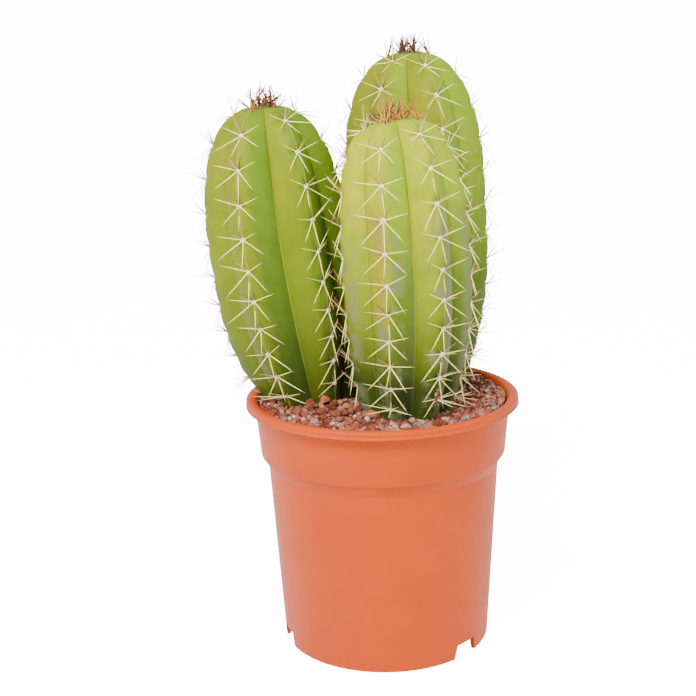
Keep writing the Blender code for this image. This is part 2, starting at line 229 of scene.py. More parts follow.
def rounded(profile, reach, steps=3):
    """The profile with each inner corner replaced by a short curve."""
    points = [Vector(point) for point in profile]
    curved = [points[0]]
    for before, corner, after in zip(points, points[1:], points[2:]):
        start = corner + (before - corner) * min(0.45, reach / (before - corner).length)
        end = corner + (after - corner) * min(0.45, reach / (after - corner).length)
        for i in range(steps + 1):
            share = i / steps
            near, far = start.lerp(corner, share), corner.lerp(end, share)
            curved.append(near.lerp(far, share))
    return [*curved, points[-1]]


def spun(name, profile, sides):
    """A solid of revolution round the pot's axis from (radius, height) points."""
    bpy.ops.object.select_all(action="DESELECT")
    bpy.ops.mesh.primitive_circle_add(vertices=3, location=POT_AXIS)
    thing = bpy.context.object
    thing.name = name
    mesh = thing.data
    mesh.clear_geometry()
    edges = [(i, i + 1) for i in range(len(profile) - 1)]
    mesh.from_pydata([(r, 0.0, z) for r, z in profile], edges, [])
    bpy.ops.object.transform_apply(location=True)
    bpy.ops.object.mode_set(mode="EDIT")
    bpy.ops.mesh.select_all(action="SELECT")
    bpy.ops.mesh.spin(steps=sides, angle=2 * math.pi, center=POT_AXIS, axis=(0, 0, 1))
    bpy.ops.mesh.select_all(action="SELECT")
    bpy.ops.mesh.remove_doubles(threshold=0.00001)
    bpy.ops.mesh.normals_make_consistent(inside=False)
    bpy.ops.object.mode_set(mode="OBJECT")
    return thing


def cut_away(thing, cutter, solver="EXACT"):
    """Takes the cutter out of a solid, and removes the cutter."""
    cut = thing.modifiers.new("cut", "BOOLEAN")
    cut.operation = "DIFFERENCE"
    cut.solver = solver
    cut.object = cutter
    bpy.context.view_layer.objects.active = thing
    bpy.ops.object.modifier_apply(modifier="cut")
    bpy.data.objects.remove(cutter, do_unlink=True)


floor_top = FLOOR_UNDERSIDE + FLOOR_THICKNESS
wall_slope = (WALL_TOP_RADIUS - BASE_RADIUS) / WALL_TOP
inner_low = BASE_RADIUS + wall_slope * floor_top - WALL
crown = (RIM_RADIUS + RIM_INNER_RADIUS) / 2
pot_section = [
    (0.0, floor_top),
    (inner_low, floor_top),
    (WALL_TOP_RADIUS - WALL, WALL_TOP + 0.0006),
    (BAND_LOW_RADIUS - WALL, BAND_BOTTOM + 0.0006),
    (BAND_TOP_RADIUS - WALL, LIP_BOTTOM),
    (RIM_INNER_RADIUS - 0.0007, LIP_TOP - 0.0006),
    (RIM_INNER_RADIUS + 0.0006, LIP_TOP + 0.0008),
    (crown, POT_HEIGHT),
    (RIM_RADIUS - 0.0014, POT_HEIGHT - 0.0003),
    (RIM_RADIUS - 0.0003, LIP_TOP + 0.0002),
    (RIM_RADIUS - 0.0009, LIP_BOTTOM + 0.0012),
    (RIM_RADIUS, LIP_BOTTOM + 0.0005),
    (RIM_RADIUS - 0.0002, LIP_BOTTOM - 0.0002),
    (BAND_TOP_RADIUS + 0.0012, LIP_BOTTOM - 0.0002),
    (BAND_TOP_RADIUS + SWELL / 2, LIP_BOTTOM - 0.0026),
    (BAND_LOW_RADIUS + SWELL, BAND_BOTTOM),
    (BAND_LOW_RADIUS - 0.0008, BAND_BOTTOM - 0.0004),
    (BAND_LOW_RADIUS - 0.0022, BAND_BOTTOM - 0.0040),
    (WALL_TOP_RADIUS + SWELL, WALL_TOP),
    (BASE_RADIUS, 0.0),
    (BASE_RADIUS - FOOT_WIDTH, 0.0),
    (BASE_RADIUS - FOOT_WIDTH, FLOOR_UNDERSIDE),
    (0.0, FLOOR_UNDERSIDE),
]
nursery_pot = spun("nursery_pot", rounded(pot_section, CORNER_ROUND), POT_SIDES)

for direction in NOTCH_DIRECTIONS:
    bpy.ops.object.select_all(action="DESELECT")
    bpy.ops.mesh.primitive_cube_add(size=1.0)
    notch = bpy.context.object
    for vertex in notch.data.vertices:
        side, far, up = vertex.co.x < 0, vertex.co.y > 0, vertex.co.z > 0
        angle = NOTCH_TOP_ANGLE if up else NOTCH_ANGLE
        radius = BASE_RADIUS + (0.012 if far else -0.012)
        height = NOTCH_HEIGHT if up else -0.004
        place = around(direction + (angle / 2 if side else -angle / 2)) * radius
        vertex.co = POT_AXIS + place + Vector((0, 0, height))
    cut_away(nursery_pot, notch)
for i in range(DRAIN_COUNT):
    bpy.ops.object.select_all(action="DESELECT")
    hole_middle = around(DRAIN_FIRST_DIRECTION + 360 * i / DRAIN_COUNT) * DRAIN_CIRCLE_RADIUS
    hole_middle.z = FLOOR_UNDERSIDE + FLOOR_THICKNESS / 2
    bpy.ops.mesh.primitive_cylinder_add(
        vertices=24, radius=DRAIN_RADIUS, depth=0.006, location=POT_AXIS + hole_middle
    )
    cut_away(nursery_pot, bpy.context.object)
bpy.context.view_layer.objects.active = nursery_pot
nursery_pot.select_set(True)
bpy.ops.object.shade_smooth_by_angle(angle=math.radians(38))

# Injection moulded polypropylene, satin: broad soft highlights that whiten at grazing
# angles, a faint cloudiness in the pigment, and shallow scuffs from handling.
plastic, tree, shader = new_finish("moulded terracotta polypropylene")
where = add_node(tree, "ShaderNodeTexCoord").outputs["Object"]
cloud = add_node(
    tree, "ShaderNodeTexNoise", inputs={"Vector": where, "Scale": 26.0, "Detail": 4.0}
)
pigment = add_node(
    tree,
    "ShaderNodeValToRGB",
    inputs={0: cloud.outputs["Fac"]},
    stops=[(0.30, linear("#AC3A09")), (0.70, linear("#B2410B"))],
)
tree.links.new(pigment.outputs["Color"], shader.inputs["Base Color"])
scuffs = add_node(
    tree, "ShaderNodeTexNoise", inputs={"Vector": where, "Scale": 160.0, "Detail": 6.0}
)
scuff_gloss = add_node(
    tree,
    "ShaderNodeMapRange",
    inputs={"Value": scuffs.outputs["Fac"], "To Min": 0.36, "To Max": 0.52},
)
tree.links.new(scuff_gloss.outputs["Result"], shader.inputs["Roughness"])
grain = add_node(
    tree,
    "ShaderNodeBump",
    inputs={"Height": scuffs.outputs["Fac"], "Strength": 0.06, "Distance": 0.001},
)
tree.links.new(grain.outputs["Normal"], shader.inputs["Normal"])
shader.inputs["IOR"].default_value = 1.49
shader.inputs["Specular IOR Level"].default_value = 0.22
shader.inputs["Specular Tint"].default_value = linear("#FFD2B4")
nursery_pot.data.materials.append(plastic)
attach(nursery_pot, "root")
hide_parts("pot")


# Stems. Three columns of one cactus: waxy green flesh in six ribs with sharp furrows
# between them, slim at the soil and domed at the top, with a row of areoles on each rib.
SOIL_LEVEL = 0.1515
STEMS = {
    "left": {
        "base": (-0.0440, 0.0090),
        "tip": (-0.0688, 0.0220, 0.3345),
        "bow": (-0.0043, 0.0025),
        "radius": 0.0448,
        "foot_share": 0.62,
        "widest_at": 0.37,
        "dome_from": 0.48,
        "dome_power": 2.6,
        "ribs": (-90, -24, 35, 90, 151, 211),
        "last_areoles": (0.2000, 0.1741, 0.1762, 0.1829, 0.1900, 0.1800),
        "spacing": 0.97,
    },
    "front": {
        "base": (0.0146, -0.0140),
        "tip": (0.0095, -0.0140, 0.3255),
        "bow": (0.0042, -0.0050),
        "radius": 0.0390,
        "foot_share": 0.72,
        "widest_at": 0.46,
        "dome_from": 0.37,
        "dome_power": 3.4,
        "ribs": (-82, -19, 32, 88, 163, 220),
        "last_areoles": (0.1741, 0.1662, 0.1775, 0.1647, 0.1730, 0.1670),
        "spacing": 0.93,
        "scorched": (-36, -19, 0.36, 0.72),
    },
    "back": {
        "base": (0.0270, 0.0370),
        "tip": (0.0209, 0.0800, 0.3635),
        "bow": (0.0013, 0.0120),
        "radius": 0.0460,
        "foot_share": 0.58,
        "widest_at": 0.42,
        "dome_from": 0.58,
        "dome_power": 2.5,
        "ribs": (-91, -33, 25, 88, 148, 208),
        "last_areoles": (0.2086, 0.2094, 0.2032, 0.2090, 0.2000, 0.2110),
        "spacing": 0.95,
    },
}
FURROW_DEPTH = 0.25
FLANK_BULGE = 0.014
FURROW_CREASE = (0.010, 0.025)
CREASE_HEIGHT = (0.50, 0.80)
CREST_ROUND = 0.014
BURIED_DEPTH = 0.032
BURIED_SHARES = ((0.0, 0.40, 0.75, 0.98, 1.0), (1.0, 0.93, 0.76, 0.48, 0.0))
RIM_CLEAR_RADIUS = 0.0765
RIM_CLEAR_HEIGHT = 0.1590
RIM_CLEAR_SLOPE = 1.3
COLUMNS_PER_RIB = 22
RINGS = 150
BURIED_RING_COUNT = 12
BODY_RING_COUNT = 78
AREOLE_STEP_LOW = 0.0145
AREOLE_STEP_GROWTH = 0.050
AREOLE_TIP_GAP = 0.0110
AREOLE_TIP_CLOSING = 0.60
AREOLE_PIT = (0.0011, 0.0036)


def middle(stem, share):
    """Points of the stem's middle line at shares of the way from soil to tip."""
    share = np.asarray(share, float)[..., None]
    base = np.array([*stem["base"], SOIL_LEVEL])
    bow = np.array([*stem["bow"], 0.0])
    straight = base + (np.array(stem["tip"]) - base) * share
    return straight + bow * (4 * share * (1 - share)) + np.array(POT_AXIS)


def crest_radius(stem, share):
    """The radius over the crests: slim at the soil, then full, then a dome."""
    share = np.asarray(share, float)
    slim = np.clip(1 - share / stem["widest_at"], 0, None) ** 2
    dome = np.clip((share - stem["dome_from"]) / (1 - stem["dome_from"]), 0, 1)
    power = stem["dome_power"]
    body = 1 - (1 - stem["foot_share"]) * slim
    return stem["radius"] * body * np.clip(1 - dome**power, 0, None) ** (1 / power)


def stem_axes(stem, share):
    """Sideways, forwards and along, as unit vectors square to each other."""
    along = middle(stem, share + 0.002) - middle(stem, share - 0.002)
    along /= np.linalg.norm(along, axis=-1, keepdims=True)
    sideways = np.array([1.0, 0.0, 0.0]) - along * along[..., :1]
    sideways /= np.linalg.norm(sideways, axis=-1, keepdims=True)
    return sideways, np.cross(sideways, along), along


def flesh_points(stem, share, direction, reach):
    """Points at shares of the crest's radius, kept clear of the pot's rim."""
    sideways, forwards, _ = stem_axes(stem, share)
    turn = np.radians(direction)[..., None]
    radius = (crest_radius(stem, share) * reach)[..., None]
    points = middle(stem, share)
    points = points + (sideways * np.sin(turn) + forwards * np.cos(turn)) * radius
    flat = points[..., :2] - np.array(POT_AXIS)[:2]
    away = np.linalg.norm(flat, axis=-1)
    limit = RIM_CLEAR_RADIUS
    limit = limit + np.clip(points[..., 2] - RIM_CLEAR_HEIGHT, 0, None) * RIM_CLEAR_SLOPE
    held = np.minimum(1.0, limit / np.maximum(away, 0.001))
    points[..., :2] = np.array(POT_AXIS)[:2] + flat * held[..., None]
    return points


def crest_reach(across, share=0.0):
    """Share of the crest's radius from a crest, 0, to the furrow, 1, creased near the top."""
    eased = np.sqrt(across**2 + CREST_ROUND**2) - CREST_ROUND
    reach = 1 - FURROW_DEPTH * eased + FLANK_BULGE * np.sin(np.pi * across)
    low, high = CREASE_HEIGHT
    depth = FURROW_CREASE[0] * np.clip((share - low) / (high - low), 0.1, 1)
    return reach - depth * np.exp(-(((1 - across) / FURROW_CREASE[1]) ** 2))


def crest_line(stem, rib, steps=400):
    """Shares, points and lengths run along one crest, from the soil to the tip."""
    share = 1 - (1 - np.linspace(0, 1, steps)) ** 1.6
    points = flesh_points(stem, share, np.full(steps, float(rib)), np.ones(steps))
    runs = np.linalg.norm(np.diff(points, axis=0), axis=1)
    return share, points, np.concatenate([[0], np.cumsum(runs)])


def areole_runs(stem, rib_number, whole):
    """How far up the crest each areole sits, from the lowest to the crowded tip."""
    place = stem["last_areoles"][rib_number]
    runs = []
    while place > 0.006:
        runs.insert(0, place)
        middle_run = place - AREOLE_STEP_LOW / 2
        place -= (AREOLE_STEP_LOW + AREOLE_STEP_GROWTH * middle_run) * stem["spacing"]
    place = runs[-1]
    while whole - place > AREOLE_TIP_GAP:
        place += AREOLE_TIP_CLOSING * (whole - place)
        runs.append(place)
    return np.array(runs)


def grow_flesh(name, stem):
    """One stem's skin, from a ball whose rings and columns are drawn out along it."""
    ribs = stem["ribs"]
    columns = COLUMNS_PER_RIB * len(ribs)
    bpy.ops.object.select_all(action="DESELECT")
    bpy.ops.mesh.primitive_uv_sphere_add(segments=columns, ring_count=RINGS, radius=1.0)
    thing = bpy.context.object
    thing.name = name
    mesh = thing.data
    ball = np.empty(len(mesh.vertices) * 3)
    mesh.vertices.foreach_get("co", ball)
    ball = ball.reshape(-1, 3)
    ring = np.rint((np.arcsin(np.clip(ball[:, 2], -1, 1)) / math.pi + 0.5) * RINGS)
    turn = np.degrees(np.arctan2(ball[:, 0], -ball[:, 1])) % 360
    column = np.rint(turn / 360 * columns).astype(int) % columns

    rib = column // COLUMNS_PER_RIB
    part = (column % COLUMNS_PER_RIB) / COLUMNS_PER_RIB
    part = part - 0.055 * np.sin(4 * math.pi * part)
    starts = np.array(ribs, float)
    ends = np.append(starts[1:], starts[0] + 360)
    direction = starts[rib] + (ends - starts)[rib] * part
    across = 1 - np.abs(1 - 2 * part)

    below = np.clip(1 - ring / BURIED_RING_COUNT, 0, 1)
    above = np.clip(ring - BURIED_RING_COUNT, 0, None)
    dome_count = RINGS - BURIED_RING_COUNT - BODY_RING_COUNT
    dome_turn = np.clip((above - BODY_RING_COUNT) / dome_count, 0, 1) * math.pi / 2
    dome_share = np.sin(dome_turn) ** (2 / stem["dome_power"])
    share = np.minimum(above / BODY_RING_COUNT, 1) * stem["dome_from"]
    share = share + dome_share * (1 - stem["dome_from"])

    reach = crest_reach(across, share)
    nearness = np.zeros(len(ball))
    for number, rib_direction in enumerate(ribs):
        shares, _, lengths = crest_line(stem, rib_direction)
        run = np.interp(share, shares, lengths)
        runs = areole_runs(stem, number, lengths[-1])
        gap = np.abs(run[:, None] - runs[None, :]).min(axis=1)
        turned = (direction - rib_direction + 180) % 360 - 180
        aside = np.radians(turned) * crest_radius(stem, share)
        distance = np.hypot(gap, aside)
        nearness = np.maximum(nearness, np.exp(-((distance / AREOLE_PIT[1]) ** 2)))
    nearness *= below == 0
    radius = np.maximum(crest_radius(stem, share), 0.004)
    points = flesh_points(stem, share, direction, reach - nearness * AREOLE_PIT[0] / radius)

    buried = np.interp(below, *BURIED_SHARES)
    foot = middle(stem, 0.0) + np.stack(
        [
            np.sin(np.radians(direction)) * crest_radius(stem, 0.0) * reach * buried,
            -np.cos(np.radians(direction)) * crest_radius(stem, 0.0) * reach * buried,
            -below * BURIED_DEPTH,
        ],
        axis=1,
    )
    points = np.where((below > 0)[:, None], foot, points)
    mesh.vertices.foreach_set("co", points.ravel())
    scorch = np.zeros(len(ball))
    if "scorched" in stem:
        start, end, low, high = stem["scorched"]
        turned = (direction + 180) % 360 - 180
        scorch = (turned > start) & (turned < end - 1.0) & (share > low) & (share < high)
    facts = {"across": across, "height": share, "areole": nearness, "scorch": scorch}
    for label, values in facts.items():
        layer = mesh.attributes.new(label, "FLOAT", "POINT")
        layer.data.foreach_set("value", values.astype(np.float32))
    mesh.update()
    bpy.ops.object.shade_smooth()
    return thing


# Living skin with a thin wax: satin leaf green, darker towards the soil and lighter towards
# the top, partly its own colour and partly painted shade and painted light. The flanks that
# face left of the front, towards the lamps, are yellower and lighter, partly sun yellowing
# and partly painted light; the flanks facing away are greener with painted shade. The IOR of
# a waxy cuticle is about 1.45.
# (colours low, middle and top of the flanks with painted shade, of the flanks with painted
# light, share of bloom)
SKINS = {
    "left": (("#354316", "#506518", "#5A7412"), ("#485412", "#647207", "#707605"), 0.0),
    "front": (("#2D3819", "#597014", "#85980A"), ("#354216", "#798507", "#999905"), 1.0),
    "back": (("#3C4C18", "#5C7314", "#738B0D"), ("#495612", "#656F07", "#707505"), 0.0),
}


def skin(name, green_and_shade_colours, yellow_and_lit_colours, bloom):
    made, tree, shader = new_finish(f"waxy cactus skin, {name} stem")
    where = add_node(tree, "ShaderNodeTexCoord")
    across = add_node(tree, "ShaderNodeAttribute", {"attribute_name": "across"})
    height = add_node(tree, "ShaderNodeAttribute", {"attribute_name": "height"})
    scorch = add_node(tree, "ShaderNodeAttribute", {"attribute_name": "scorch"})
    # Two height ramps, darker towards the soil with painted shade and lighter at the top with
    # painted light
    flanks = [
        add_node(
            tree,
            "ShaderNodeValToRGB",
            inputs={0: height.outputs["Fac"]},
            stops=[
                (0.12, linear(colours[0])),
                (0.48, linear(colours[1])),
                (0.84, linear(colours[2])),
            ],
        )
        for colours in (green_and_shade_colours, yellow_and_lit_colours)
    ]
    # Painted light: the flanks that face left of the front, towards the lamps, take the
    # lighter, yellower colours, and the others the greener ones with painted shade
    faces_the_light = add_node(
        tree,
        "ShaderNodeVectorMath",
        {"operation": "DOT_PRODUCT"},
        {0: where.outputs["Normal"], 1: (-0.87, -0.50, 0.0)},
    )
    lit_side = add_node(
        tree,
        "ShaderNodeMapRange",
        {"interpolation_type": "SMOOTHSTEP"},
        {"Value": faces_the_light.outputs["Value"], "From Min": 0.22, "From Max": 0.52},
    )
    green = add_node(
        tree,
        "ShaderNodeMix",
        {"data_type": "RGBA"},
        {
            0: lit_side.outputs["Result"],
            6: flanks[0].outputs["Color"],
            7: flanks[1].outputs["Color"],
        },
    )
    # Bluer green clouds, 15 to 30 mm wide, and mottling about 8 mm wide
    cloud = add_node(
        tree,
        "ShaderNodeTexNoise",
        inputs={"Vector": where.outputs["Object"], "Scale": 38.0, "Detail": 3.0},
    )
    cloud_share = add_node(
        tree,
        "ShaderNodeMapRange",
        inputs={
            "Value": cloud.outputs["Fac"],
            "From Min": 0.45,
            "From Max": 0.72,
            "To Max": 0.42,
        },
    )
    clouded = add_node(
        tree,
        "ShaderNodeMix",
        {"data_type": "RGBA", "blend_type": "MULTIPLY"},
        {0: cloud_share.outputs["Result"], 6: green.outputs[2], 7: linear("#B4E6C8")},
    )
    mottle = add_node(
        tree,
        "ShaderNodeTexNoise",
        inputs={"Vector": where.outputs["Object"], "Scale": 110.0, "Detail": 5.0},
    )
    mottle_value = add_node(
        tree,
        "ShaderNodeMapRange",
        inputs={"Value": mottle.outputs["Fac"], "To Min": 0.80, "To Max": 1.20},
    )
    shaded = add_node(
        tree,
        "ShaderNodeHueSaturation",
        inputs={"Value": mottle_value.outputs["Result"], "Color": clouded.outputs[2]},
    )
    burnt = add_node(
        tree,
        "ShaderNodeMath",
        {"operation": "MULTIPLY"},
        {0: scorch.outputs["Fac"], 1: 0.60},
    )
    scorched = add_node(
        tree,
        "ShaderNodeMix",
        {"data_type": "RGBA"},
        {0: burnt.outputs[0], 6: shaded.outputs["Color"], 7: linear("#92770D")},
    )
    # Crests: a fine worn line, pale yellow brown
    crest = add_node(
        tree,
        "ShaderNodeMapRange",
        inputs={
            "Value": across.outputs["Fac"],
            "From Min": 0.0,
            "From Max": 0.045,
            "To Min": 0.60,
            "To Max": 0.0,
        },
    )
    crested = add_node(
        tree,
        "ShaderNodeMix",
        {"data_type": "RGBA"},
        {0: crest.outputs["Result"], 6: scorched.outputs[2], 7: linear("#938240")},
    )
    # The furrow has a fine dark line of painted shade in the crease near the top, and fades
    # to a pale line lower down
    furrow = add_node(
        tree,
        "ShaderNodeMapRange",
        inputs={
            "Value": across.outputs["Fac"],
            "From Min": 0.970,
            "From Max": 1.0,
            "To Max": 0.75,
        },
    )
    furrow_line_and_shade = add_node(
        tree,
        "ShaderNodeValToRGB",
        inputs={0: height.outputs["Fac"]},
        stops=[
            (0.0, linear("#596B2C")),
            (0.55, linear("#848C34")),
            (0.74, linear("#22300E")),
        ],
    )
    lined = add_node(
        tree,
        "ShaderNodeMix",
        {"data_type": "RGBA"},
        {
            0: furrow.outputs["Result"],
            6: crested.outputs[2],
            7: furrow_line_and_shade.outputs["Color"],
        },
    )
    colour = lined.outputs[2]
    if bloom:
        # Grey wax that has not been rubbed off: blotches 5 to 15 mm wide by the crests,
        # broken up by 2 mm specks, and a thin even coat on the flank that faces right
        patches = add_node(
            tree,
            "ShaderNodeTexNoise",
            inputs={
                "Vector": where.outputs["Object"],
                "Scale": 62.0,
                "Detail": 8.0,
                "Roughness": 0.66,
            },
        )
        patch_edge = add_node(
            tree,
            "ShaderNodeMapRange",
            inputs={
                "Value": patches.outputs["Fac"],
                "From Min": 0.48,
                "From Max": 0.56,
                "To Max": 0.72 * bloom,
            },
        )
        by_crest = add_node(
            tree,
            "ShaderNodeMapRange",
            inputs={
                "Value": across.outputs["Fac"],
                "From Min": 0.40,
                "From Max": 0.72,
                "To Min": 1.0,
                "To Max": 0.0,
            },
        )
        blotches = add_node(
            tree,
            "ShaderNodeMath",
            {"operation": "MULTIPLY"},
            {0: patch_edge.outputs["Result"], 1: by_crest.outputs["Result"]},
        )
        facing_right = add_node(
            tree,
            "ShaderNodeVectorMath",
            {"operation": "DOT_PRODUCT"},
            {0: where.outputs["Normal"], 1: (1.0, 0.0, 0.0)},
        )
        even_coat = add_node(
            tree,
            "ShaderNodeMapRange",
            inputs={
                "Value": facing_right.outputs["Value"],
                "From Min": 0.60,
                "From Max": 0.80,
                "To Max": 0.55 * bloom,
            },
        )
        wax = add_node(
            tree,
            "ShaderNodeMath",
            {"operation": "MAXIMUM"},
            {0: blotches.outputs[0], 1: even_coat.outputs["Result"]},
        )
        lower_half = add_node(
            tree,
            "ShaderNodeMapRange",
            inputs={
                "Value": height.outputs["Fac"],
                "From Min": 0.60,
                "From Max": 0.76,
                "To Min": 1.0,
                "To Max": 0.0,
            },
        )
        masked = add_node(
            tree,
            "ShaderNodeMath",
            {"operation": "MULTIPLY"},
            {0: wax.outputs[0], 1: lower_half.outputs["Result"]},
        )
        waxed = add_node(
            tree,
            "ShaderNodeMix",
            {"data_type": "RGBA"},
            {0: masked.outputs[0], 6: colour, 7: linear("#6A6F4C")},
        )
        colour = waxed.outputs[2]
    tree.links.new(colour, shader.inputs["Base Color"])
    gloss = add_node(
        tree,
        "ShaderNodeMapRange",
        inputs={"Value": mottle.outputs["Fac"], "To Min": 0.38, "To Max": 0.54},
    )
    tree.links.new(gloss.outputs["Result"], shader.inputs["Roughness"])
    pores = add_node(
        tree,
        "ShaderNodeTexNoise",
        inputs={"Vector": where.outputs["Object"], "Scale": 420.0, "Detail": 3.0},
    )
    bump = add_node(
        tree,
        "ShaderNodeBump",
        inputs={"Height": pores.outputs["Fac"], "Strength": 0.12, "Distance": 0.0008},
    )
    tree.links.new(bump.outputs["Normal"], shader.inputs["Normal"])
    shader.inputs["IOR"].default_value = 1.45
    shader.inputs["Specular IOR Level"].default_value = 0.15
    shader.inputs["Specular Tint"].default_value = linear("#FFF4B0")
    return made


flesh = {}
for name, stem in STEMS.items():
    flesh[name] = grow_flesh(f"{name}_flesh", stem)
    flesh[name].data.materials.append(skin(name, *SKINS[name]))
    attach(flesh[name], "root")
    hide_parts(f"column_{name}")


# Filling. Lava grit in grains of 1 to 8 mm, coarse in front of the left stem and finer at
# the back and right: mostly red brown, a few grey or pale, and banked up to the rim.
GAP = 0.0003
BED_DROP = 0.0016
BANK = (0.0044, 0.0008, 0.0010)
BANK_FROM = 0.66
HEAP_PLACE = (-0.0330, -0.0170)
HEAP_HEIGHT = 0.0058
HEAP_WIDTH = 0.0160
SEED = 17
draw = random.Random(SEED)

fill_bottom = FLOOR_UNDERSIDE + FLOOR_THICKNESS + GAP
fill_low = BASE_RADIUS + wall_slope * fill_bottom - WALL - GAP * 2
fill_rim = BAND_TOP_RADIUS - WALL - GAP * 2
bed_level = SOIL_LEVEL - BED_DROP


def grit_rise(x, y):
    """How far the grit stands over its common level: banked at the rim, and one heap."""
    x, y = np.asarray(x) - POT_AXIS.x, np.asarray(y) - POT_AXIS.y
    away = np.maximum(np.hypot(x, y), 0.001)
    edge = np.clip((away / fill_rim - BANK_FROM) / (1 - BANK_FROM), 0, 1)
    bank = BANK[0] + BANK[1] * y / away + BANK[2] * x / away
    apart = (x - HEAP_PLACE[0]) ** 2 + (y - HEAP_PLACE[1]) ** 2
    heap = HEAP_HEIGHT * np.exp(-apart / (2 * HEAP_WIDTH**2))
    return bank * edge**2 * (3 - 2 * edge) + heap


bed_section = [(fill_rim * i / 40, bed_level) for i in range(41)] + [
    (BAND_LOW_RADIUS - WALL - GAP * 2, BAND_BOTTOM + 0.0006),
    (WALL_TOP_RADIUS - WALL - GAP * 2, WALL_TOP + 0.0006),
    (fill_low, fill_bottom + 0.0020),
    (fill_low - 0.0020, fill_bottom),
    (0.0, fill_bottom),
]
grit_bed = spun("grit_bed", bed_section, 144)
for vertex in grit_bed.data.vertices:
    if vertex.co.z > bed_level - 0.0001:
        vertex.co.z += float(grit_rise(vertex.co.x, vertex.co.y))
for name in STEMS:
    bpy.ops.object.select_all(action="DESELECT")
    hole = flesh[name].copy()
    hole.data = flesh[name].data.copy()
    bpy.context.scene.collection.objects.link(hole)
    cut_away(grit_bed, hole, "MANIFOLD")

# Each broken grain is a ball with flats knocked off it: pebbles finely, crumbs coarsely
PEBBLE_KINDS = 7
CRUMB_KINDS = 4
rocks = []
for kind in range(PEBBLE_KINDS + CRUMB_KINDS):
    bpy.ops.object.select_all(action="DESELECT")
    finely = 2 if kind < PEBBLE_KINDS else 1
    bpy.ops.mesh.primitive_ico_sphere_add(subdivisions=finely, radius=1.0)
    rock = bpy.context.object
    flats = [Vector([draw.gauss(0, 1) for _ in range(3)]).normalized() for _ in range(7)]
    depths = [draw.uniform(0.45, 0.80) for _ in flats]
    for vertex in rock.data.vertices:
        for normal, depth in zip(flats, depths):
            over = vertex.co.dot(normal) - depth
            if over > 0:
                vertex.co -= normal * over * 0.92
        vertex.co *= draw.uniform(0.88, 1.14)
    rocks.append(rock)


def planted(name, pattern, places, labels):
    """One mesh of copies of a pattern: each place is (matrix, bend, values of the labels)."""
    count = len(pattern.data.vertices)
    points = np.array([vertex.co for vertex in pattern.data.vertices])
    polygons = [tuple(polygon.vertices) for polygon in pattern.data.polygons]
    all_points, all_faces = [], []
    values = {label: [] for label in ("along", *labels)}
    for number, (matrix, bend, facts) in enumerate(places):
        turned = np.array(matrix)
        bent = points + np.array(bend) * (points[:, 2:] ** 2)
        all_points.append(bent @ turned[:3, :3].T + turned[:3, 3])
        all_faces += [tuple(i + number * count for i in face) for face in polygons]
        values["along"].append(points[:, 2])
        for label, fact in zip(labels, facts):
            values[label].append(np.full(count, fact))
    mesh = bpy.data.meshes.new(name)
    mesh.from_pydata(np.concatenate(all_points), [], all_faces)
    for label, parts in values.items():
        layer = mesh.attributes.new(label, "FLOAT", "POINT")
        layer.data.foreach_set("value", np.concatenate(parts).astype(np.float32))
    mesh.shade_smooth()
    thing = bpy.data.objects.new(name, mesh)
    bpy.context.scene.collection.objects.link(thing)
    return thing


def stem_reach(stem, flat_points):
    """How far points on the soil lie outside a stem's ribbed section there."""
    centre = middle(stem, 0.0)[:2]
    apart = flat_points - centre
    turn = np.degrees(np.arctan2(apart[:, 0], -apart[:, 1]))
    ribs = np.array(stem["ribs"], float)
    ends = np.append(ribs[1:], ribs[0] + 360)
    across = np.zeros(len(turn))
    for start, end in zip(ribs, ends):
        part = ((turn - start) % 360) / (end - start)
        across = np.where(part <= 1, 1 - np.abs(1 - 2 * part), across)
    return np.linalg.norm(apart, axis=1) - crest_radius(stem, 0.0) * crest_reach(across)


def grain_place(x, y, z, radius):
    """A grain's matrix: turned and a little flattened at random."""
    tilt = Matrix.Rotation(draw.uniform(0, 2 * math.pi), 3, "Z")
    tilt = tilt @ Matrix.Rotation(draw.uniform(-0.6, 0.6), 3, "X")
    tilt = tilt @ Matrix.Diagonal(
        (radius * draw.uniform(0.9, 1.2), radius * draw.uniform(0.8, 1.05), radius * 0.85)
    )
    matrix = tilt.to_4x4()
    matrix.translation = Vector((x, y, z))
    return matrix


# Stones that the photograph shows one by one: (x, y, radius, share sunk in, shade)
PLACED_STONES = (
    (-0.0350, -0.0190, 0.0040, 0.00, 0.30),
    (-0.0277, -0.0351, 0.0038, 0.35, 0.25),
    (-0.0062, -0.0331, 0.0042, 0.35, 0.28),
    (0.0207, -0.0553, 0.0033, 0.35, 0.95),
    (0.0132, -0.0500, 0.0025, 0.35, 0.24),
    (0.0285, -0.0530, 0.0027, 0.35, 0.55),
    (-0.0511, -0.0215, 0.0024, 0.35, 0.96),
    (-0.0430, -0.0245, 0.0030, 0.35, 0.12),
    (-0.0295, -0.0215, 0.0032, 0.30, 0.22),
    (-0.0190, -0.0240, 0.0033, 0.35, 0.45),
    (-0.0370, -0.0310, 0.0036, 0.35, 0.05),
    (-0.0470, -0.0340, 0.0031, 0.35, 0.30),
    (-0.0195, -0.0440, 0.0030, 0.35, 0.50),
    (-0.0120, -0.0510, 0.0024, 0.35, 0.10),
)
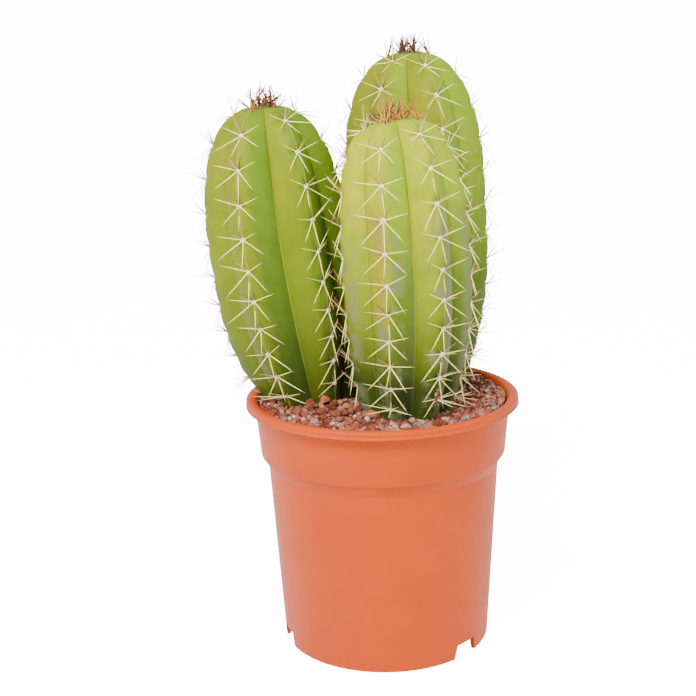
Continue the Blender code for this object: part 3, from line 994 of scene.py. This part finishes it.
# Radius from and to, how many, how close together, and how much they keep to the front left
GRAIN_SIZES = (
    (0.0021, 0.0031, 120, 0.86, 0.90),
    (0.0013, 0.0020, 620, 0.82, 0.55),
    (0.0008, 0.0012, 1600, 0.82, 0.10),
    (0.0005, 0.0007, 1700, 0.66, 0.0),
)
PEBBLE_RADIUS = 0.0013
grains = [[] for _ in rocks]
taken = []
for x, y, radius, sunk, shade in PLACED_STONES:
    x, y = POT_AXIS.x + x, POT_AXIS.y + y
    z = bed_level + float(grit_rise(x, y)) + radius * (0.75 - sunk)
    place = grain_place(x, y, z, radius)
    grains[draw.randrange(PEBBLE_KINDS)].append((place, (0, 0, 0), (shade, draw.random())))
    taken.append((x, y, radius))
taken = np.array(taken)
chance = np.random.default_rng(SEED)
for least, most, wanted, closeness, gathered in GRAIN_SIZES:
    tries = wanted * 14
    away = fill_rim * np.sqrt(chance.random(tries))
    turn = chance.random(tries) * 2 * math.pi
    x, y = POT_AXIS.x + away * np.sin(turn), POT_AXIS.y - away * np.cos(turn)
    radius = chance.uniform(least, most, tries)
    front_left = np.clip(0.5 - (x - POT_AXIS.x + y - POT_AXIS.y) / 0.12, 0, 1) ** 1.3
    free = chance.random(tries) < 1 - gathered * (1 - front_left)
    free &= away < fill_rim + 0.0006 - radius
    spots = np.stack([x, y], axis=1)
    for stem in STEMS.values():
        free &= stem_reach(stem, spots) > radius * 0.7
    rise = grit_rise(x, y)
    dull = chance.random(tries) > 0.35 + 0.65 * front_left
    found = 0
    for i in np.flatnonzero(free):
        if found == wanted:
            break
        near = np.hypot(taken[:, 0] - x[i], taken[:, 1] - y[i])
        if np.any(near < (taken[:, 2] + radius[i]) * closeness):
            continue
        taken = np.vstack([taken, [x[i], y[i], radius[i]]])
        found += 1
        z = bed_level + rise[i] + radius[i] * draw.uniform(0.25, 0.75)
        shade = draw.random() * (0.93 if radius[i] < PEBBLE_RADIUS else 1.0)
        if dull[i]:
            shade = draw.uniform(0.44, 0.90)
        kind = draw.randrange(PEBBLE_KINDS)
        if radius[i] < PEBBLE_RADIUS:
            kind = PEBBLE_KINDS + draw.randrange(CRUMB_KINDS)
        place = grain_place(x[i], y[i], z, radius[i])
        grains[kind].append((place, (0, 0, 0), (shade, draw.random())))

# Fired lava: dead matt, full of pinholes about a millimetre wide, each grain its own shade.
lava, tree, shader = new_finish("red brown lava grit")
shade = add_node(tree, "ShaderNodeAttribute", {"attribute_name": "shade"})
light = add_node(tree, "ShaderNodeAttribute", {"attribute_name": "light"})
where = add_node(tree, "ShaderNodeTexCoord").outputs["Object"]
stone = add_node(
    tree,
    "ShaderNodeValToRGB",
    {},
    {0: shade.outputs["Fac"]},
    stops=[
        (0.00, linear("#6A3626")),
        (0.22, linear("#844632")),
        (0.50, linear("#8E5842")),
        (0.66, linear("#8A6256")),
        (0.84, linear("#A5836F")),
        (0.93, linear("#685F58")),
        (0.975, linear("#B0A294")),
    ],
)
stone.color_ramp.interpolation = "CONSTANT"
pits = add_node(
    tree, "ShaderNodeTexNoise", inputs={"Vector": where, "Scale": 900.0, "Detail": 5.0}
)
pit_shade = add_node(
    tree,
    "ShaderNodeMapRange",
    inputs={
        "Value": pits.outputs["Fac"],
        "From Min": 0.3,
        "From Max": 0.7,
        "To Min": 0.55,
        "To Max": 1.45,
    },
)
own_light = add_node(
    tree,
    "ShaderNodeMapRange",
    inputs={"Value": light.outputs["Fac"], "To Min": 0.66, "To Max": 1.40},
)
lit = add_node(
    tree,
    "ShaderNodeMath",
    {"operation": "MULTIPLY"},
    {0: pit_shade.outputs["Result"], 1: own_light.outputs["Result"]},
)
stony = add_node(
    tree,
    "ShaderNodeHueSaturation",
    inputs={"Value": lit.outputs[0], "Color": stone.outputs["Color"]},
)
tree.links.new(stony.outputs["Color"], shader.inputs["Base Color"])
shader.inputs["Roughness"].default_value = 0.95
shader.inputs["Specular IOR Level"].default_value = 0.08
rough = add_node(
    tree,
    "ShaderNodeBump",
    inputs={"Height": pits.outputs["Fac"], "Strength": 0.6, "Distance": 0.0008},
)
tree.links.new(rough.outputs["Normal"], shader.inputs["Normal"])

# The bed shows only in the gaps between the grains: its dark brown is dust and painted shade
# between them
dust_and_shade, tree, shader = new_finish("grit dust between the grains")
where = add_node(tree, "ShaderNodeTexCoord").outputs["Object"]
crumbs = add_node(
    tree, "ShaderNodeTexNoise", inputs={"Vector": where, "Scale": 700.0, "Detail": 6.0}
)
dust_and_shade_colour = add_node(
    tree,
    "ShaderNodeValToRGB",
    inputs={0: crumbs.outputs["Fac"]},
    stops=[(0.35, linear("#24160F")), (0.65, linear("#4A2F25"))],
)
tree.links.new(dust_and_shade_colour.outputs["Color"], shader.inputs["Base Color"])
shader.inputs["Roughness"].default_value = 1.0
# Cutting the stems' holes leaves the skins' slots on the bed, and all of it gets the dust and
# painted shade
grit_bed.data.materials.clear()
grit_bed.data.materials.append(dust_and_shade)


def poured(name, kinds):
    """The grains of some kinds of rock as one piece."""
    heaps = [planted(f"{name}_{k}", rocks[k], grains[k], ("shade", "light")) for k in kinds]
    bpy.ops.object.select_all(action="DESELECT")
    for heap in heaps:
        heap.data.materials.append(lava)
        heap.select_set(True)
    bpy.context.view_layer.objects.active = heaps[0]
    bpy.ops.object.join()
    heaps[0].name = name
    bpy.ops.object.shade_smooth_by_angle(angle=math.radians(20))
    return heaps[0]


grit_pebbles = poured("grit_pebbles", range(PEBBLE_KINDS))
grit_crumbs = poured("grit_crumbs", range(PEBBLE_KINDS, len(rocks)))
for rock in rocks:
    bpy.data.objects.remove(rock, do_unlink=True)
for thing in (grit_bed, grit_pebbles, grit_crumbs):
    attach(thing, "root")
    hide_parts("soil")


# Areoles and spines. Each areole is a small cushion of pale felt, and from it stand about
# eight stiff awl shaped spines: a star lying along the rib, and one that points outwards.
# (turn from straight up the rib, lean out from the rib, length in mm, yellowness)
SPINE_STAR = (
    (73, 20, 16.5, 0.10),
    (-73, 20, 16.5, 0.10),
    (130, 18, 19.5, 0.0),
    (-130, 18, 19.5, 0.0),
    (180, 14, 18.5, 0.05),
    (36, 36, 12.0, 1.0),
    (-36, 36, 12.0, 1.0),
    (6, 66, 14.5, 0.6),
)
# Near the tip the areoles are young: their spines stand up, long and well apart
YOUNG_STAR = (
    (16, 48, 18.0, 1.0),
    (-24, 44, 16.0, 1.0),
    (64, 32, 16.0, 1.0),
    (-68, 34, 15.0, 1.0),
    (0, 76, 14.0, 1.0),
    (150, 36, 9.0, 0.6),
)
YOUTH_RUN = 0.0175
SPINE_SPREAD = (9, 7, 0.13)
SPINE_RADIUS = 0.00037
SPINE_SHAPE = ((0.0, 1.0), (0.12, 0.88), (0.45, 0.74), (0.80, 0.45), (1.0, 0.10))
SPINE_SINK = 0.0012
SPINE_TESTED_AT = (0.3, 0.5, 0.7, 0.85, 1.0)
SPINE_OVER_SOIL = 0.0022
SPINE_OVER_RIM = 0.0030
SPINE_CLEARANCE = 0.0008
FELT_RADIUS = 0.0016
# The growing point's own spines: how many, length in mm, and share of dark ones
TONE_LEAN = {"left": 0.8, "front": 1.9, "back": 0.8}
CROWNS = {"left": (15, 9.0, 0.8), "front": (20, 11.5, 0.15), "back": (14, 12.5, 0.3)}


def gap_to_stem(stem, points):
    """How far points lie outside the round hull of a stem, negative inside it."""
    shares = np.linspace(0, 1, 41)
    away = np.linalg.norm(points[:, None, :] - middle(stem, shares)[None], axis=2)
    return (away - crest_radius(stem, shares)[None]).min(axis=1)


def has_room(name, points):
    """Whether a spine may pass these points: clear of grit, rim and the other stems."""
    reach = np.hypot(points[:, 0] - POT_AXIS.x, points[:, 1] - POT_AXIS.y)
    over_pot = reach < RIM_RADIUS + SPINE_OVER_RIM
    grit = SOIL_LEVEL + grit_rise(points[:, 0], points[:, 1]) + SPINE_OVER_SOIL
    over_soil = np.where(reach > RIM_INNER_RADIUS, POT_HEIGHT + 0.001, grit)
    if np.any(over_pot & (points[:, 2] < over_soil)):
        return False
    own = np.clip(gap_to_stem(STEMS[name], points), 0, None)
    for other, stem in STEMS.items():
        if other != name and np.any(gap_to_stem(stem, points) < own * 0.5 + SPINE_CLEARANCE):
            return False
    return True


def inside_box(points, margin=0.0004):
    low, high = (np.array(corner) for corner in cad_box)
    return np.all(points > low + margin) and np.all(points < high - margin)


# One spine as a pattern: a five sided awl, one unit long
bpy.ops.object.select_all(action="DESELECT")
bpy.ops.mesh.primitive_cone_add(
    vertices=5, radius1=1.0, radius2=SPINE_SHAPE[-1][1], depth=1.0, location=(0, 0, 0.5)
)
spine_pattern = bpy.context.object
bpy.ops.object.transform_apply(location=True)
bpy.ops.object.mode_set(mode="EDIT")
for height, _ in SPINE_SHAPE[1:-1]:
    bpy.ops.mesh.select_all(action="SELECT")
    bpy.ops.mesh.bisect(plane_co=(0, 0, height), plane_no=(0, 0, 1))
bpy.ops.object.mode_set(mode="OBJECT")
for vertex in spine_pattern.data.vertices:
    wanted = np.interp(vertex.co.z, *zip(*SPINE_SHAPE))
    scale = wanted / math.hypot(vertex.co.x, vertex.co.y)
    vertex.co.x *= scale
    vertex.co.y *= scale

# One cushion of felt as a pattern: a lumpy, flattened ball
bpy.ops.object.select_all(action="DESELECT")
bpy.ops.mesh.primitive_uv_sphere_add(segments=8, ring_count=6, radius=1.0)
felt_pattern = bpy.context.object
for vertex in felt_pattern.data.vertices:
    vertex.co *= draw.uniform(0.84, 1.16)
    vertex.co.z *= 0.62


def areole_frames(stem, number):
    """(point, outward, upward, run, whole length) of each areole of a rib."""
    rib = stem["ribs"][number]
    shares, points, lengths = crest_line(stem, rib)
    frames = []
    for run in areole_runs(stem, number, lengths[-1]):
        place = np.array([np.interp(run, lengths, points[:, k]) for k in range(3)])
        ahead = np.array([np.interp(run + 0.001, lengths, points[:, k]) for k in range(3)])
        behind = np.array([np.interp(run - 0.001, lengths, points[:, k]) for k in range(3)])
        upward = Vector(ahead - behind).normalized()
        centre = middle(stem, np.interp(run, lengths, shares))
        outward = Vector(place - centre)
        outward = (outward - upward * outward.dot(upward)).normalized()
        pit = AREOLE_PIT[0] + 0.0004
        frames.append((Vector(place) - outward * pit, outward, upward, run, lengths[-1]))
    return frames


def one_spine(name, root, heading, lift, size, thin, facts):
    """Where one spine stands, bent to where it has room, or None if there is none."""
    for attempt in range(5):
        heading = heading.normalized()
        tests = np.array([root + heading * (size * far) for far in SPINE_TESTED_AT])
        if not inside_box(tests):
            size *= 0.88
        elif has_room(name, tests):
            break
        else:
            heading = heading + lift
    else:
        return None
    length = size + SPINE_SINK
    aside = heading.orthogonal().normalized()
    over = heading.cross(aside)
    thick = SPINE_RADIUS * thin * draw.uniform(0.85, 1.1) * (0.75 + 0.25 * size / 0.017)
    matrix = Matrix((aside * thick, over * thick, heading * length)).transposed().to_4x4()
    matrix.translation = root - heading * SPINE_SINK
    curl = [draw.uniform(-0.04, 0.04) * length / thick for _ in range(2)]
    return matrix, (*curl, 0.0), (*facts, draw.random() ** TONE_LEAN[name])


def spine_places(name):
    """Where every spine and every cushion of felt of a stem stands."""
    stem = STEMS[name]
    places, felts = [], []
    for number in range(len(stem["ribs"])):
        for root, outward, upward, run, whole in areole_frames(stem, number):
            sideways = upward.cross(outward)
            youth = min(1.0, max(0.0, 1.5 - (whole - run) / YOUTH_RUN))
            felt_size = FELT_RADIUS * draw.uniform(0.85, 1.15) * (1 - 0.25 * youth)
            felt = Matrix((sideways, upward, outward)).transposed() * felt_size
            felt = felt.to_4x4()
            felt.translation = root + outward * 0.0004
            felts.append((felt, (0, 0, 0), (run / whole, youth)))
            young = 1.0 if youth > 0.55 else 0.0
            star = YOUNG_STAR if young else SPINE_STAR
            vigour = draw.uniform(0.88, 1.10)
            for turn, lean, size, yellow in star:
                turned = math.radians(turn + SPINE_SPREAD[0] * draw.uniform(-1, 1))
                leant = math.radians(lean + SPINE_SPREAD[1] * draw.uniform(-1, 1))
                size *= 0.001 * vigour * (1 + SPINE_SPREAD[2] * draw.uniform(-1, 1))
                flat = upward * math.cos(turned) + sideways * math.sin(turned)
                heading = flat * math.cos(leant) + outward * math.sin(leant)
                lift = upward * 0.4 + outward * 0.15
                thin = 1.6 if young else 1 + 0.15 * yellow
                if yellow == 1.0 and not young:
                    size *= 1 + 0.35 * youth
                facts = (yellow, young, run / whole)
                spine = one_spine(name, root, heading, lift, size, thin, facts)
                if spine:
                    places.append(spine)
    count, size, dark = CROWNS[name]
    tip = Vector(middle(stem, 1.0)) - Vector((0, 0, 0.0010))
    for i in range(count):
        outward = around(360 * (i + draw.uniform(0, 0.8)) / count)
        heading = Vector((0, 0, 1)) + outward * draw.uniform(0.15, 1.0)
        if dark == 1.0:
            heading = Vector((0, 0, 1)) - outward * draw.uniform(-0.4, 0.9)
        root = tip + outward * draw.uniform(0.0008, 0.0045)
        length = 0.001 * size * draw.uniform(0.7, 1.2)
        facts = (1.0, 1.0 + (draw.random() < dark), 1.0)
        spine = one_spine(name, root, heading, outward * 0.2, length, 1.5, facts)
        if spine:
            places.append(spine)
    return places, felts


# Spines are hard, horn-like and satin: cream with a pinkish brown root, and near the tip of
# the stem yellow, orange, red brown or nearly black, each spine its own. The oldest, near
# the grit, have gone pinkish grey.
horn, tree, shader = new_finish("cream horn of the spines")
along = add_node(tree, "ShaderNodeAttribute", {"attribute_name": "along"})
yellow = add_node(tree, "ShaderNodeAttribute", {"attribute_name": "yellow"})
youth = add_node(tree, "ShaderNodeAttribute", {"attribute_name": "youth"})
level = add_node(tree, "ShaderNodeAttribute", {"attribute_name": "level"})
tone = add_node(tree, "ShaderNodeAttribute", {"attribute_name": "tone"})
grown = add_node(
    tree,
    "ShaderNodeValToRGB",
    inputs={0: along.outputs["Fac"]},
    stops=[
        (0.03, linear("#B98668")),
        (0.13, linear("#FFF08C")),
        (0.80, linear("#FFF292")),
        (0.98, linear("#C9A468")),
    ],
)
by_length = add_node(
    tree,
    "ShaderNodeValToRGB",
    inputs={0: along.outputs["Fac"]},
    stops=[(0.05, linear("#A87868")), (0.35, linear("#FFFFFF")), (1.0, linear("#D8C4B4"))],
)
tones = [
    add_node(
        tree,
        "ShaderNodeValToRGB",
        inputs={0: tone.outputs["Fac"]},
        stops=[(place, linear(colour)) for place, colour in stops],
    )
    for stops in (
        ((0.0, "#B08A48"), (0.35, "#96642E"), (0.65, "#6A4426"), (0.90, "#2E221A")),
        ((0.0, "#C08A10"), (0.35, "#B4600E"), (0.62, "#7A3010"), (0.84, "#24160F")),
    )
]
upper, fresh = [
    add_node(
        tree,
        "ShaderNodeMix",
        {"data_type": "RGBA", "blend_type": "MULTIPLY"},
        {0: 1.0, 6: own_tone.outputs["Color"], 7: by_length.outputs["Color"]},
    )
    for own_tone in tones
]
mixed = add_node(
    tree,
    "ShaderNodeMix",
    {"data_type": "RGBA"},
    {0: yellow.outputs["Fac"], 6: grown.outputs["Color"], 7: upper.outputs[2]},
)
mixed = add_node(
    tree,
    "ShaderNodeMix",
    {"data_type": "RGBA"},
    {0: youth.outputs["Fac"], 6: mixed.outputs[2], 7: fresh.outputs[2]},
)
dark = add_node(
    tree,
    "ShaderNodeMapRange",
    inputs={"Value": youth.outputs["Fac"], "From Min": 1.1, "From Max": 1.9},
)
mixed = add_node(
    tree,
    "ShaderNodeMix",
    {"data_type": "RGBA"},
    {0: dark.outputs["Result"], 6: mixed.outputs[2], 7: linear("#4A2A1A")},
)
old = add_node(
    tree,
    "ShaderNodeMapRange",
    inputs={
        "Value": level.outputs["Fac"],
        "From Min": 0.03,
        "From Max": 0.30,
        "To Min": 0.40,
        "To Max": 0.0,
    },
)
aged = add_node(
    tree,
    "ShaderNodeMix",
    {"data_type": "RGBA"},
    {0: old.outputs["Result"], 6: mixed.outputs[2], 7: linear("#E4C4A8")},
)
tree.links.new(aged.outputs[2], shader.inputs["Base Color"])
shader.inputs["Roughness"].default_value = 0.38
shader.inputs["IOR"].default_value = 1.54

# Felt of short white hairs, matt, with darker specks between the spines' roots.
wool, tree, shader = new_finish("white areole felt")
where = add_node(tree, "ShaderNodeTexCoord").outputs["Object"]
specks = add_node(
    tree, "ShaderNodeTexNoise", inputs={"Vector": where, "Scale": 900.0, "Detail": 4.0}
)
speckled = add_node(
    tree,
    "ShaderNodeValToRGB",
    inputs={0: specks.outputs["Fac"]},
    stops=[
        (0.36, linear("#7E5A48")),
        (0.48, linear("#EADBC0")),
        (0.66, linear("#FFFAE6")),
    ],
)
tree.links.new(speckled.outputs["Color"], shader.inputs["Base Color"])
shader.inputs["Roughness"].default_value = 0.95
fluff = add_node(
    tree,
    "ShaderNodeBump",
    inputs={"Height": specks.outputs["Fac"], "Strength": 0.6, "Distance": 0.0006},
)
tree.links.new(fluff.outputs["Normal"], shader.inputs["Normal"])

for name in STEMS:
    places, felts = spine_places(name)
    spines = planted(
        f"{name}_spines", spine_pattern, places, ("yellow", "youth", "level", "tone")
    )
    spines.data.materials.append(horn)
    cushions = planted(f"{name}_felt", felt_pattern, felts, ("level", "youth"))
    cushions.data.materials.append(wool)
    for thing in (spines, cushions):
        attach(thing, "root")
        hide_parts(f"column_{name}")


# Scar. On the front stem's right hand rib, low down, the crest has healed over with brown
# cork: a crust of small hard lumps between two areoles, grown from the skin itself.
SCAR_RIB = 2
SCAR_RUNS = (0.0135, 0.0245)
SCAR_LUMPS = 34
scar_stem = STEMS["front"]
shares, points, lengths = crest_line(scar_stem, scar_stem["ribs"][SCAR_RIB])
lumps = []
for i in range(SCAR_LUMPS):
    run = draw.uniform(*SCAR_RUNS)
    place = Vector([np.interp(run, lengths, points[:, k]) for k in range(3)])
    centre = Vector(middle(scar_stem, np.interp(run, lengths, shares)))
    outward = (place - centre).normalized()
    sideways = Vector((0, 0, 1)).cross(outward).normalized()
    size = draw.uniform(0.0005, 0.0010)
    lump = Matrix((sideways, outward, Vector((0, 0, 1.5)))).transposed() * size
    lump = lump.to_4x4()
    lump.translation = place + sideways * draw.uniform(-0.0014, 0.0016) - outward * 0.0004
    lumps.append((lump, (0, 0, 0), (draw.random(),)))
cork, tree, shader = new_finish("brown cork of a healed scar")
own = add_node(tree, "ShaderNodeAttribute", {"attribute_name": "own"})
cork_colour = add_node(
    tree,
    "ShaderNodeValToRGB",
    inputs={0: own.outputs["Fac"]},
    stops=[(0.0, linear("#644028")), (0.6, linear("#8C6443")), (1.0, linear("#9F8365"))],
)
tree.links.new(cork_colour.outputs["Color"], shader.inputs["Base Color"])
shader.inputs["Roughness"].default_value = 0.85
scar = planted("front_scar", felt_pattern, lumps, ("own",))
scar.data.materials.append(cork)
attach(scar, "root")
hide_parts("column_front")
bpy.data.objects.remove(spine_pattern, do_unlink=True)
bpy.data.objects.remove(felt_pattern, do_unlink=True)
